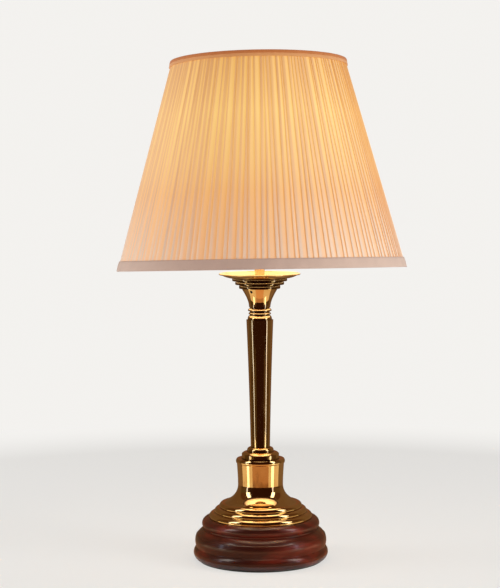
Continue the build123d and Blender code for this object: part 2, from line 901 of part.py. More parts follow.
def pleat_edge(z):
    """The zigzag outline of the folded cloth at a height."""
    points = []
    top = shade_radius(z)
    for i in range(pleat_count):
        points.append(pleat_corner(pleat_middle(i), top, z))
        points.append(pleat_corner(pleat_middle(i) + pleat_step, top - pleat_depth, z))
    return Wire.make_polygon(points, close=True)


def backing_edge(z):
    """The outline of the cloth's inner side at a height: one flat run behind each fold."""
    radius = shade_radius(z, pleat_depth + cover_backing)
    points = [pleat_corner(pleat_middle(i), radius, z) for i in range(pleat_count)]
    return Wire.make_polygon(points, close=True)


def make_shade_cover():
    folds = Solid.make_loft([pleat_edge(shade_bottom), pleat_edge(shade_top)], ruled=True)
    hollow = Solid.make_loft([backing_edge(shade_bottom - 1), backing_edge(shade_top + 1)], ruled=True)
    return leaned(Part() + folds - hollow)


def frame_inset():
    """How far the wires' centre line lies inside the folds' outer edge."""
    slope = math.hypot(1, (shade_bottom_radius - shade_top_radius) / shade_height)
    return pleat_depth + cover_backing + (ring_wire_radius + frame_gap) * slope


def wire_ring(z):
    centre = shade_radius(z, frame_inset())
    return revolve(Pos(centre, 0, z) * Rot(90, 0, 0) * Circle(ring_wire_radius), Axis.Z)


def make_top_wire_ring():
    return leaned(wire_ring(shade_top - ring_inset))


def make_bottom_wire_ring():
    return leaned(wire_ring(shade_bottom + ring_inset))


def make_frame_struts():
    low, high = shade_bottom + ring_inset, shade_top - ring_inset
    strut = bar((shade_radius(low, frame_inset()), 0, low), (shade_radius(high, frame_inset()), 0, high),
                strut_radius)
    strut = strut - wire_ring(low) - wire_ring(high)
    return leaned(Compound(around(strut_count, strut)))


def plain_arms(radius):
    high = shade_top - ring_inset
    end = shade_radius(high, frame_inset())
    arm = bar((gimbal_ring_radius - gimbal_ring_wall / 2, 0, pin_height), (end, 0, high), radius)
    return around(arm_count, arm, 45)


def make_drop_arms():
    half = gimbal_ring_height
    ring_keep = rod(gimbal_ring_radius, pin_height - half, pin_height + half)
    rim = wire_ring(shade_top - ring_inset)
    return leaned(Compound([arm - ring_keep - rim for arm in plain_arms(arm_radius)]))


def make_shade_lining():
    inset = frame_inset() + ring_wire_radius + lining_gap
    body = cone_band(inset, lining_thickness, shade_bottom, shade_top)
    for arm in plain_arms(arm_radius + lining_gap):
        body -= arm
    return leaned(body)


def make_top_trim():
    """Two narrow strips round the top edge, the upper one lapped over the lower one."""
    middle = shade_top - top_trim_height / 2
    upper = cone_band(-trim_thickness - trim_lap - slip, trim_thickness + trim_lap, middle, shade_top)
    lower = cone_band(-trim_thickness - slip, trim_thickness, shade_top - top_trim_height, middle)
    return leaned(upper + lower)


def make_hem_trim():
    return leaned(cone_band(-trim_thickness - slip, trim_thickness, shade_bottom,
                            shade_bottom + hem_trim_height))


nodes = {
    "base_pad": make_base_pad,
    "plinth": make_plinth,
    "cord_bush": make_cord_bush,
    "foot": make_foot,
    "lower_collar": make_lower_collar,
    "upper_collar": make_upper_collar,
    "column": make_column,
    "neck": make_neck,
    "capital_bell": make_capital_bell,
    "grub_screw": make_grub_screw,
    "step_ring": make_step_ring,
    "drip_pan": make_drip_pan,
    "riser_sleeve": make_riser_sleeve,
    "tie_rod": make_tie_rod,
    "rod_washer": make_rod_washer,
    "rod_nut": make_rod_nut,
    "terminal_block": make_terminal_block,
    "terminal_screws": make_terminal_screws,
    "earth_lead": lambda: make_lead(0),
    "live_lead": lambda: make_lead(1),
    "neutral_lead": lambda: make_lead(2),
    "holder_cap": make_holder_cap,
    "holder_nut": make_holder_nut,
    "holder_shell": make_holder_shell,
    "holder_insert": make_holder_insert,
    "screw_shell": make_screw_shell,
    "centre_contact": make_centre_contact,
    "switch_bar": make_switch_bar,
    "bulb_contact": make_bulb_contact,
    "bulb_insulator": make_bulb_insulator,
    "bulb_cap": make_bulb_cap,
    "bulb_glass": make_bulb_glass,
    "bulb_stem": make_bulb_stem,
    "filaments": make_filaments,
    "clamp_ring_lower": make_clamp_ring_lower,
    "clamp_ring_upper": make_clamp_ring_upper,
    "carrier_ring": make_carrier_ring,
    "carrier_wires": make_carrier_wires,
    "carrier_hub": make_carrier_hub,
    "carrier_nut": make_carrier_nut,
    "gimbal_plate": make_gimbal_plate,
    "gimbal_pins": make_gimbal_pins,
    "gimbal_ring": make_gimbal_ring,
    "drop_arms": make_drop_arms,
    "top_wire_ring": make_top_wire_ring,
    "bottom_wire_ring": make_bottom_wire_ring,
    "frame_struts": make_frame_struts,
    "shade_lining": make_shade_lining,
    "shade_cover": make_shade_cover,
    "top_trim": make_top_trim,
    "hem_trim": make_hem_trim,
}

os.makedirs("parts", exist_ok=True)
for name, make in nodes.items():
    export_step(make(), f"parts/{name}.step")
    print(name)
print(f"tilting pins at {pin_height:.2f}, shade {shade_bottom:.2f} to {shade_top:.2f}")
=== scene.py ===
import json
import math
import random

import bpy
from mathutils import Matrix, Vector, noise


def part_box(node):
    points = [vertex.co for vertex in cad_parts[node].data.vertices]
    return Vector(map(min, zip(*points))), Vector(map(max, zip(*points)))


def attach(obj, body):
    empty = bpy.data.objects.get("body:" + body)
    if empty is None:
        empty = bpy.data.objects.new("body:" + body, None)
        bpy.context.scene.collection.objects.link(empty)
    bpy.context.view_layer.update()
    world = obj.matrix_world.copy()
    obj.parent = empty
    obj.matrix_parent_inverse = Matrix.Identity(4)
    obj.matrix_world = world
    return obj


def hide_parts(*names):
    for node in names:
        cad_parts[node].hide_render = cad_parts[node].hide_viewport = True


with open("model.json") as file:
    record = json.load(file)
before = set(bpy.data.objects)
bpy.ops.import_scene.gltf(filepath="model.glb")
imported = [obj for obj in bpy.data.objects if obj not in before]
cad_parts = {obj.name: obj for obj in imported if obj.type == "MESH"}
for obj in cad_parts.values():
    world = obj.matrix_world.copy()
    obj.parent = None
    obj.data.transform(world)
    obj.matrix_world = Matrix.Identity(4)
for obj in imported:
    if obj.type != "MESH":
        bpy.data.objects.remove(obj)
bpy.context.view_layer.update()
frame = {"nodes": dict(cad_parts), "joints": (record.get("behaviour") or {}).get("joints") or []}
nodes = frame["nodes"]
joints = {joint["name"]: joint for joint in frame["joints"]}
world = bpy.context.scene.world or bpy.data.worlds.new("world")
bpy.context.scene.world = world
print("frame loaded,", len(nodes), "nodes")


# the camera, from the ellipses of the turned rings: metres, degrees and pixels of the photograph
camera = {
    "distance": 1.863,
    "height": 0.4288,
    "lookDown": 3.68,
    "roll": -0.25,
    "focalPixels": 1616.0,
    "frameWidth": 500.0,
    "frameHeight": 588.0,
    "lampPixelX": 259.7,
    "sensor": 36.0,
}


def placeCamera():
    data = bpy.data.cameras.new("camera")
    data.sensor_fit = "VERTICAL"
    data.sensor_height = camera["sensor"]
    data.lens = camera["focalPixels"] / camera["frameHeight"] * camera["sensor"]
    data.shift_x = (camera["frameWidth"] / 2 - camera["lampPixelX"]) / camera["frameHeight"]
    data.clip_end = 50.0
    eye = bpy.data.objects.new("camera", data)
    tilt = Matrix.Rotation(math.radians(90 - camera["lookDown"]), 4, "X")
    roll = Matrix.Rotation(math.radians(camera["roll"]), 4, "Z")
    eye.matrix_world = Matrix.Translation((0, -camera["distance"], camera["height"])) @ tilt @ roll
    bpy.context.scene.collection.objects.link(eye)
    bpy.context.scene.camera = eye


placeCamera()
bpy.context.scene.view_settings.view_transform = "Standard"
print("camera placed")


# shader graphs: a socket can be used in sums, and one method makes every node
class Socket:
    def __init__(self, shader, socket):
        self.shader = shader
        self.socket = socket

    def sum(self, operation, first, second):
        return self.shader.node("ShaderNodeMath", {"operation": operation}, {0: first, 1: second})

    def __add__(self, other):
        return self.sum("ADD", self, other)

    def __radd__(self, other):
        return self.sum("ADD", other, self)

    def __sub__(self, other):
        return self.sum("SUBTRACT", self, other)

    def __rsub__(self, other):
        return self.sum("SUBTRACT", other, self)

    def __mul__(self, other):
        return self.sum("MULTIPLY", self, other)

    def __rmul__(self, other):
        return self.sum("MULTIPLY", other, self)

    def __pow__(self, other):
        return self.sum("POWER", self, other)

    def most(self, other):
        return self.sum("MAXIMUM", self, other)


def findSocket(sockets, key):
    if isinstance(key, int):
        return sockets[key]
    for socket in sockets:
        if socket.identifier == key:
            return socket
    return sockets[key]


class Shader:
    def __init__(self, name, owner=None):
        self.material = owner or bpy.data.materials.new(name)
        self.material.use_nodes = True
        self.tree = self.material.node_tree
        self.tree.nodes.clear()

    def node(self, kind, settings=None, inputs=None, output=0):
        made = self.tree.nodes.new(kind)
        for key, value in (settings or {}).items():
            if key == "stops":
                self.fillRamp(made.color_ramp, value)
            else:
                setattr(made, key, value)
        for key, value in (inputs or {}).items():
            socket = findSocket(made.inputs, key)
            if isinstance(value, Socket):
                self.tree.links.new(value.socket, socket)
            else:
                socket.default_value = value
        return Socket(self, findSocket(made.outputs, output)) if len(made.outputs) else made

    def fillRamp(self, ramp, stops):
        while len(ramp.elements) < len(stops):
            ramp.elements.new(1.0)
        for element, (place, colour) in zip(ramp.elements, stops):
            element.position = place
            element.color = colour if len(colour) == 4 else (*colour, 1.0)

    def ramp(self, value, stops):
        return self.node("ShaderNodeValToRGB", {"stops": stops}, {"Fac": value})

    def place(self):
        return self.node("ShaderNodeTexCoord", output="Object")

    def split(self, vector):
        x = self.node("ShaderNodeSeparateXYZ", inputs={0: vector})
        return [Socket(self, socket) for socket in x.socket.node.outputs]

    def scaled(self, vector, scale):
        return self.node("ShaderNodeVectorMath", {"operation": "MULTIPLY"}, {0: vector, 1: scale})

    def noise(self, vector, scale, detail=2.0, roughness=0.5, distortion=0.0):
        return self.node("ShaderNodeTexNoise", inputs={
            "Vector": vector, "Scale": scale, "Detail": detail, "Roughness": roughness,
            "Distortion": distortion})

    def attribute(self, name):
        return self.node("ShaderNodeAttribute", {"attribute_name": name}, output="Fac")

    def mix(self, factor, first, second):
        def colour(value):
            return value if isinstance(value, Socket) or len(value) == 4 else (*value, 1.0)
        return self.node("ShaderNodeMix", {"data_type": "RGBA"}, {
            "Factor_Float": factor, "A_Color": colour(first), "B_Color": colour(second)},
            "Result_Color")

    def band(self, value, low, high):
        return self.node("ShaderNodeMapRange", {"interpolation_type": "SMOOTHSTEP"}, {
            "Value": value, "From Min": low, "From Max": high})

    def bump(self, height, strength, distance):
        return self.node("ShaderNodeBump", inputs={"Height": height, "Strength": strength,
                                                   "Distance": distance})

    def finish(self, inputs):
        surface = self.node("ShaderNodeBsdfPrincipled", inputs=inputs)
        self.node("ShaderNodeOutputMaterial", inputs={"Surface": surface})
        return self.material


# brass: polished, with fine turning marks, smudges, and brown patina kept in the grooves
brass = {
    "bright": (0.90, 0.66, 0.33),
    "warm": (0.80, 0.52, 0.22),
    "patina": (0.060, 0.022, 0.008),
    "grooveReach": 0.0035,
    "polish": 0.06,
    "smudge": 0.13,
    "markDepth": 0.000001,
    "dentDepth": 0.00022,
    "dentStart": 0.06,    # how far up the column the dents begin
    "stepTone": 0.50,
    "sleeveWear": 0.26,
}


def brassMaterial(name, wobble=0.0, wobbleLow=0.0, wobbleHigh=1.0, tone=1.0, grooves=True, worn=0.0):
    shader = Shader(name)
    place = shader.place()
    x, y, z = shader.split(place)
    cloud = shader.noise(place, 38.0, 4.0, 0.6)
    smear = shader.noise(shader.scaled(place, (1.0, 1.0, 0.25)), 150.0, 3.0)
    bright, warm = (tuple(tone * part for part in brass[key]) for key in ("bright", "warm"))
    colour = shader.mix(shader.band(cloud, 0.35, 0.72), bright, warm)
    if grooves:
        open_ = shader.node("ShaderNodeAmbientOcclusion", {"samples": 6, "only_local": False},
                            {"Distance": brass["grooveReach"]}, "AO")
        dirt = (1.0 - open_) * (0.55 + 0.9 * shader.noise(place, 260.0, 3.0))
        colour = shader.mix(shader.band(dirt, 0.16, 0.62), colour, brass["patina"])
    rough = brass["polish"] + worn + brass["smudge"] * shader.band(smear, 0.52, 0.80)
    marks = shader.noise(shader.scaled(place, (0.02, 0.02, 1.0)), 5200.0, 1.0)
    relief = marks * brass["markDepth"]
    if wobble:
        mask = shader.band(z, wobbleLow, wobbleHigh)
        dents = shader.noise(shader.scaled(place, (1.0, 1.0, 0.55)), 75.0, 2.0)
        relief = relief + dents * mask * wobble
    return shader.finish({"Base Color": colour, "Metallic": 1.0, "Roughness": rough,
                          "Normal": shader.bump(relief, 1.0, 1.0)})


# mahogany: dark red-brown under a thick gloss, its grain running across the turned block
mahogany = {
    "dark": (0.018, 0.0030, 0.0013),
    "middle": (0.060, 0.0066, 0.0024),
    "red": (0.190, 0.0160, 0.0055),
    "pores": (0.010, 0.0025, 0.0015),
    "poreShare": 0.45,
    "roughness": 0.30,
    "coat": 0.55,
}


def mahoganyMaterial(name):
    shader = Shader(name)
    place = shader.place()
    figure = shader.noise(shader.scaled(place, (5.0, 22.0, 40.0)), 1.0, 4.0, 0.55, 1.2)
    streak = shader.noise(shader.scaled(place, (30.0, 340.0, 560.0)), 1.0, 3.0, 0.6)
    colour = shader.ramp(figure, [(0.28, mahogany["dark"]), (0.50, mahogany["middle"]),
                                  (0.74, mahogany["red"])])
    colour = shader.mix(shader.band(streak, 0.54, 0.74) * mahogany["poreShare"], colour,
                        mahogany["pores"])
    worn = shader.noise(place, 90.0, 3.0)
    rough = mahogany["roughness"] + 0.12 * shader.band(worn, 0.45, 0.8)
    return shader.finish({"Base Color": colour, "Roughness": rough,
                          "Normal": shader.bump(streak, 0.06, 0.00008),
                          "Coat Weight": mahogany["coat"], "Coat Roughness": 0.10})


# plain finishes: base colour, how far it drifts, roughness and grain size
plainFinishes = {
    "baize": {"colour": (0.020, 0.050, 0.028), "drift": 0.5, "rough": 0.95, "grain": 900.0,
              "relief": 0.5, "depth": 0.0004, "metal": 0.0},
    "steel": {"colour": (0.52, 0.52, 0.53), "drift": 0.2, "rough": 0.32, "grain": 700.0,
              "relief": 0.15, "depth": 0.00005, "metal": 1.0},
    "blackenedSteel": {"colour": (0.030, 0.024, 0.020), "drift": 0.3, "rough": 0.55, "grain": 900.0,
                       "relief": 0.2, "depth": 0.00005, "metal": 0.6},
    "nickel": {"colour": (0.70, 0.69, 0.66), "drift": 0.15, "rough": 0.20, "grain": 600.0,
               "relief": 0.1, "depth": 0.00004, "metal": 1.0},
    "terminalPlastic": {"colour": (0.72, 0.69, 0.60), "drift": 0.1, "rough": 0.5, "grain": 1200.0,
                        "relief": 0.15, "depth": 0.00005, "metal": 0.0},
    "blackPlastic": {"colour": (0.016, 0.015, 0.015), "drift": 0.3, "rough": 0.28, "grain": 900.0,
                     "relief": 0.1, "depth": 0.00004, "metal": 0.0},
    "greenLead": {"colour": (0.16, 0.36, 0.05), "drift": 0.15, "rough": 0.45, "grain": 900.0,
                  "relief": 0.1, "depth": 0.00004, "metal": 0.0},
    "brownLead": {"colour": (0.12, 0.045, 0.02), "drift": 0.15, "rough": 0.45, "grain": 900.0,
                  "relief": 0.1, "depth": 0.00004, "metal": 0.0},
    "blueLead": {"colour": (0.02, 0.08, 0.32), "drift": 0.15, "rough": 0.45, "grain": 900.0,
                 "relief": 0.1, "depth": 0.00004, "metal": 0.0},
    "porcelain": {"colour": (0.84, 0.82, 0.77), "drift": 0.05, "rough": 0.14, "grain": 300.0,
                  "relief": 0.05, "depth": 0.00005, "metal": 0.0},
    "frameEnamel": {"colour": (0.80, 0.76, 0.66), "drift": 0.1, "rough": 0.38, "grain": 800.0,
                    "relief": 0.2, "depth": 0.00006, "metal": 0.0},
}


def plainMaterial(name):
    finish = plainFinishes[name]
    shader = Shader(name)
    place = shader.place()
    cloud = shader.noise(place, 60.0, 3.0)
    grain = shader.noise(place, finish["grain"], 3.0)
    shade = tuple(part * (1 - finish["drift"]) for part in finish["colour"])
    colour = shader.mix(shader.band(cloud, 0.3, 0.75), finish["colour"], shade)
    rough = finish["rough"] + 0.10 * (grain - 0.5)
    return shader.finish({"Base Color": colour, "Roughness": rough, "Metallic": finish["metal"],
                          "Normal": shader.bump(grain, finish["relief"], finish["depth"])})


# glowing parts inside the shade
glow = {
    "glassColour": (1.0, 0.86, 0.62),
    "glassGlow": (1.0, 0.62, 0.26),
    "glassStrength": 7.0,
    "filamentColour": (1.0, 0.55, 0.18),
    "filamentStrength": 20.0,
}


def glowMaterial(name, colour, light, strength, alpha):
    shader = Shader(name)
    place = shader.place()
    cloud = shader.noise(place, 30.0, 2.0)
    dim = tuple(0.85 * part for part in light)
    shadow = tuple(0.9 * part for part in colour)
    return shader.finish({
        "Base Color": shader.mix(cloud, colour, shadow),
        "Roughness": 0.12 + 0.08 * cloud, "Alpha": alpha,
        "Emission Color": shader.mix(cloud, light, dim), "Emission Strength": strength})


# the shade: cloth sizes in metres; glow colours painted as the light that comes through it, and cloth
# colours by height that hold painted light and shade
shade = {
    "pleats": 144,
    "rows": 36,
    "foldDepth": 0.0015,
    "underlayHem": 0.0032,
    "underlayTop": 0.0031,
    "underlayDrift": 0.25,
    "topUnderlayDrift": 0.40,
    "wander": 0.16,
    "topWander": 0.42,
    "leastGap": 0.34,
    "ease": 1.4,          # how late, going up, the folds take their places of the top edge
    "mostUnderlay": 0.82,
    "foldStart": 0.86,    # where the second layer begins to show through, in underlays
    "foldSoftness": 0.22,
    "toneSpread": 0.8,
    "sway": 0.10,
    "weave": 2600.0,
    "seed": 11,
    # cloth colour by height, paler where folded: pale and cool at the hem, darker and warmer towards the
    # top, which is painted light and shade rather than the cloth's own colour
    "singleClothAndShade": [(0.0, (0.45, 0.50, 0.45)), (0.15, (0.38, 0.40, 0.35)), (0.35, (0.31, 0.30, 0.23)),
                    (1.0, (0.28, 0.22, 0.14))],
    "foldedClothAndShade": [(0.0, (0.62, 0.68, 0.63)), (0.15, (0.52, 0.54, 0.49)), (0.35, (0.42, 0.38, 0.30)),
                    (1.0, (0.34, 0.26, 0.16))],
    "singleGlow": [(0.0, (0.530, 0.160, 0.0)), (0.14, (0.595, 0.205, 0.004)),
                   (0.33, (0.670, 0.275, 0.040)), (0.50, (0.725, 0.375, 0.075)),
                   (0.72, (0.785, 0.460, 0.105)), (1.0, (0.680, 0.340, 0.062))],
    "foldedGlow": [(0.0, (0.250, 0.062, 0.0)), (0.14, (0.300, 0.078, 0.0)),
                   (0.33, (0.395, 0.120, 0.010)), (0.50, (0.470, 0.168, 0.020)),
                   (0.72, (0.510, 0.196, 0.024)), (1.0, (0.390, 0.124, 0.012))],
}

tiltJoint = joints["shade_tilt"]
pivot = Vector(tiltJoint["pos_m"])
tiltAxis = Vector(tiltJoint["axis"])
restLean = sum(tiltJoint["range_deg"]) / 2
leanOver = (Matrix.Translation(pivot) @ Matrix.Rotation(-math.radians(restLean), 4, tiltAxis)
            @ Matrix.Translation(-pivot))
standUp = leanOver.inverted()
uprightCover = [standUp @ v.co for v in nodes["shade_cover"].data.vertices]
hemHeight = min(point.z for point in uprightCover)
topHeight = max(point.z for point in uprightCover)


def edgeRadius(height):
    return max(math.hypot(p.x, p.y) for p in uprightCover if abs(p.z - height) < 0.001)


hemRadius = edgeRadius(hemHeight)
topRadius = edgeRadius(topHeight)
print("shade", round(hemHeight, 4), round(topHeight, 4), round(hemRadius, 4), round(topRadius, 4))


def slopeRadius(height, inset=0.0):
    share = (height - hemHeight) / (topHeight - hemHeight)
    return hemRadius + (topRadius - hemRadius) * share - inset


def makeMesh(name, points, faces, smooth=True):
    mesh = bpy.data.meshes.new(name)
    mesh.from_pydata(points, [], faces)
    mesh.validate()
    mesh.update()
    for polygon in mesh.polygons:
        polygon.use_smooth = smooth
    piece = bpy.data.objects.new(name, mesh)
    bpy.context.scene.collection.objects.link(piece)
    return piece


def closedRing(columns, rows):
    faces = []
    for row in range(rows):
        above = (row + 1) % rows
        for column in range(columns):
            beside = (column + 1) % columns
            faces.append((row * columns + column, row * columns + beside,
                          above * columns + beside, above * columns + column))
    return faces


def addValues(piece, name, values):
    layer = piece.data.attributes.new(name, "FLOAT", "POINT")
    layer.data.foreach_set("value", values)


def dress(piece, material, slot, body, *replaced):
    piece.data.materials.clear()
    piece.data.materials.append(material)
    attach(piece, body)
    if replaced:
        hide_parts(*replaced)
    return piece


def unevenness(index, seed):
    return noise.noise(Vector((index * 0.71 + seed, seed * 3.3, 0.5)))


def hemPlace(index):
    return index + shade["wander"] * (math.sin(2.3 * index) + 0.5 * math.sin(0.37 * index))


def gatherPleats():
    # where each fold stands at the top edge, and how much of each pleat is folded under
    chance = random.Random(shade["seed"])
    pleats = shade["pleats"]
    top = [i + shade["topWander"] * chance.uniform(-1, 1) for i in range(pleats)]
    for i in range(1, pleats):
        top[i] = max(top[i], top[i - 1] + shade["leastGap"])
    top[-1] = min(top[-1], top[0] + pleats - shade["leastGap"])
    extra = [chance.uniform(-1, 1) for i in range(pleats)]
    return top, extra


# one knife pleat, from its outer fold over its face, under the next fold and back:
# how far along (0 to 1 over the face, then in underlays), how deep, and whether it shows
pleatFace = [(0.0, 0.10), (0.03, 0.0), (0.16, 0.02), (0.34, 0.10), (0.54, 0.24), (0.76, 0.46),
             (1.0, 0.74)]
pleatUnder = [(0.55, 0.96), (1.0, 1.0), (1.0, 0.90), (0.45, 0.62), (-0.03, 0.36)]


def pleatPoints(start, end, under):
    # places round the shade in pleats, depth as a share, and layers of cloth there
    reach = end - start
    for along, deep in pleatFace:
        place = start + reach * along
        folded = 1.0 - min(max((reach * along / under - shade["foldStart"]) / shade["foldSoftness"],
                               0.0), 1.0)
        yield place, deep, folded
    for along, deep in pleatUnder:
        yield end + under * along, deep, 1.0


def makeCover():
    points, folded, tones, heights = [], [], [], []
    pleats, rows = shade["pleats"], shade["rows"]
    gathered, extra = gatherPleats()
    for row in range(rows + 1):
        share = row / rows
        height = hemHeight + (topHeight - hemHeight) * share
        outer = slopeRadius(height)
        pitch = 2 * math.pi * outer / pleats
        ease = share ** shade["ease"]
        places = [hemPlace(i) * (1 - ease) + gathered[i] * ease for i in range(pleats)]
        for i in range(pleats):
            sway = noise.noise(Vector((i * 1.7, share * 3.0, 2.0)))
            places[i] += shade["sway"] * sway * math.sin(math.pi * share)
        places.append(places[0] + pleats)
        underlay = shade["underlayHem"] + (shade["underlayTop"] - shade["underlayHem"]) * share
        drift = shade["underlayDrift"] + (shade["topUnderlayDrift"] - shade["underlayDrift"]) * share
        for i in range(pleats):
            under = underlay * (1 + drift * extra[i]) / pitch
            under = min(under, shade["mostUnderlay"] * (places[i + 1] - places[i]))
            for place, deep, layers in pleatPoints(places[i], places[i + 1], under):
                radius = outer - shade["foldDepth"] * deep
                angle = 2 * math.pi * place / pleats
                points.append(leanOver @ Vector((radius * math.cos(angle),
                                                 radius * math.sin(angle), height)))
                folded.append(layers)
                tones.append(0.5 + shade["toneSpread"] * unevenness(i * 1.9, 31.0 + share * 0.6))
                heights.append(share)
    columns = len(points) // (rows + 1)
    faces = [(row * columns + column, row * columns + (column + 1) % columns,
              (row + 1) * columns + (column + 1) % columns, (row + 1) * columns + column)
             for row in range(rows) for column in range(columns)]
    piece = makeMesh("pleated_cover", points, faces)
    for name, values in (("folded", folded), ("tone", tones), ("rise", heights)):
        addValues(piece, name, values)
    return piece


def pleatedMaterial():
    shader = Shader("pleatedCloth")
    rise = shader.attribute("rise")
    folded = shader.attribute("folded")
    tone = shader.attribute("tone")
    weave = shader.noise(shader.place(), shade["weave"], 2.0)
    through = shader.mix(folded * (0.55 + 0.45 * tone), shader.ramp(rise, shade["singleGlow"]),
                         shader.ramp(rise, shade["foldedGlow"]))
    # painted light and shade in the cloth colour: paler where folded, darker and warmer towards the top
    cloth = shader.mix(folded, shader.ramp(rise, shade["singleClothAndShade"]),
                       shader.ramp(rise, shade["foldedClothAndShade"]))
    cloth = shader.mix(0.25 * weave, cloth, (0.25, 0.15, 0.08))
    return shader.finish({
        "Base Color": cloth, "Roughness": 0.75, "Sheen Weight": 0.15,
        "Emission Color": through, "Emission Strength": 1.0,
        "Normal": shader.bump(weave, 0.25, 0.00008)})


# the lining and the bands round both edges
bands = {
    "liningInset": 0.0086,
    "liningThickness": 0.0006,
    "liningGlow": [(0.0, (0.60, 0.44, 0.30)), (0.45, (1.0, 0.85, 0.68)), (0.8, (1.0, 0.86, 0.70)),
                   (1.0, (0.80, 0.60, 0.40))],
    "liningStrength": 1.0,
    "topHeight": 0.0070,
    "hemHeight": 0.0115,
    "stand": 0.0011,
    "lap": 0.0004,
    "puff": 0.00035,
    "ripple": 0.0003,
    "thickness": 0.001,
    "upperThickness": 0.0016,
    "overlap": 0.0006,
    "columns": 360,
}


def makeBand(name, low, high, outer, thickness, puff=0.0, ripple=0.0):
    # a conical band whose outer face is slightly rounded, closed all round its section
    section = []
    steps = 6
    for step in range(steps + 1):
        share = step / steps
        section.append((low + (high - low) * share, outer + puff * math.sin(math.pi * share)))
    for step in range(steps, -1, -1):
        section.append((low + (high - low) * step / steps, outer - thickness))
    columns = bands["columns"]
    points, rises = [], []
    for height, out in section:
        for column in range(columns):
            angle = 2 * math.pi * column / columns
            wave = ripple * noise.noise(Vector((math.cos(angle) * 30, math.sin(angle) * 30, height * 90)))
            radius = slopeRadius(height) + out + wave
            points.append(Vector((radius * math.cos(angle), radius * math.sin(angle), height)))
            rises.append((height - hemHeight) / (topHeight - hemHeight))
    piece = makeMesh(name, [leanOver @ point for point in points], closedRing(columns, len(section)))
    addValues(piece, "rise", rises)
    return piece


def bandMaterial(name, cloth, glowColour, strength, threads):
    shader = Shader(name)
    place = shader.place()
    weave = shader.noise(shader.scaled(place, (1.0, 1.0, threads)), 1500.0, 2.0)
    cloud = shader.noise(place, 55.0, 3.0)
    dark = tuple(0.82 * part for part in cloth)
    lit = tuple(0.80 * part for part in glowColour)
    return shader.finish({
        "Base Color": shader.mix(cloud, cloth, dark), "Roughness": 0.8, "Sheen Weight": 0.2,
        "Emission Color": shader.mix(cloud, glowColour, lit), "Emission Strength": strength,
        "Normal": shader.bump(weave, 0.35, 0.00015)})


def liningMaterial():
    shader = Shader("liningCloth")
    place = shader.place()
    weave = shader.noise(place, 2200.0, 2.0)
    rise = shader.attribute("rise")
    light = shader.ramp(rise, bands["liningGlow"])
    cloth = shader.mix(weave, (0.80, 0.74, 0.62), (0.72, 0.65, 0.52))
    return shader.finish({
        "Base Color": cloth, "Roughness": 0.8, "Emission Color": light,
        "Emission Strength": bands["liningStrength"], "Normal": shader.bump(weave, 0.2, 0.00008)})


def dressShade():
    cover = dress(makeCover(), pleatedMaterial(), "pleated_cloth", "shade", "shade_cover")
    lining = makeBand("lining", hemHeight, topHeight, -bands["liningInset"], bands["liningThickness"])
    dress(lining, liningMaterial(), "lining_cloth", "shade", "shade_lining")
    middle = topHeight - bands["topHeight"] / 2
    lower = makeBand("top_trim_lower", topHeight - bands["topHeight"], middle + bands["overlap"],
                     bands["stand"], bands["thickness"], bands["puff"], bands["ripple"])
    upper = makeBand("top_trim_upper", middle, topHeight, bands["stand"] + bands["lap"],
                     bands["upperThickness"], bands["puff"], bands["ripple"])
    hem = makeBand("hem_band", hemHeight, hemHeight + bands["hemHeight"], bands["stand"],
                   bands["thickness"], bands["puff"], bands["ripple"])
    # the upper strip is the same braid as the lower strip, with a darker copy of its colour and glow as
    # painted shade
    lowerCloth = bandMaterial("topTrimLower", (0.43, 0.26, 0.12), (0.34, 0.09, 0.010), 1.0, 4.0)
    shadedUpperCloth = bandMaterial("topTrimUpperShaded", (0.32, 0.14, 0.045), (0.27, 0.05, 0.004), 1.0, 4.0)
    hemCloth = bandMaterial("hemBandCloth", (0.60, 0.49, 0.40), (0.09, 0.004, 0.0), 1.0, 0.4)
    dress(lower, lowerCloth, "trim_braid", "shade", "top_trim")
    dress(upper, shadedUpperCloth, "trim_braid", "shade")
    dress(hem, hemCloth, "hem_cloth", "shade", "hem_trim")
    slant = math.hypot(topHeight - hemHeight, hemRadius - topRadius)
    # the lining is cut as a sector of a ring
    low, high = hemRadius - bands["liningInset"], topRadius - bands["liningInset"]
    apex = slant * low / (low - high)
    half = math.pi * low / apex
    cut = (2 * apex * math.sin(half), apex - (apex - slant) * math.cos(half))
    math.pi * (low + high) * slant


dressShade()
print("shade dressed")


def paint(material, *names):
    for name in names:
        nodes[name].data.materials.clear()
        nodes[name].data.materials.append(material)


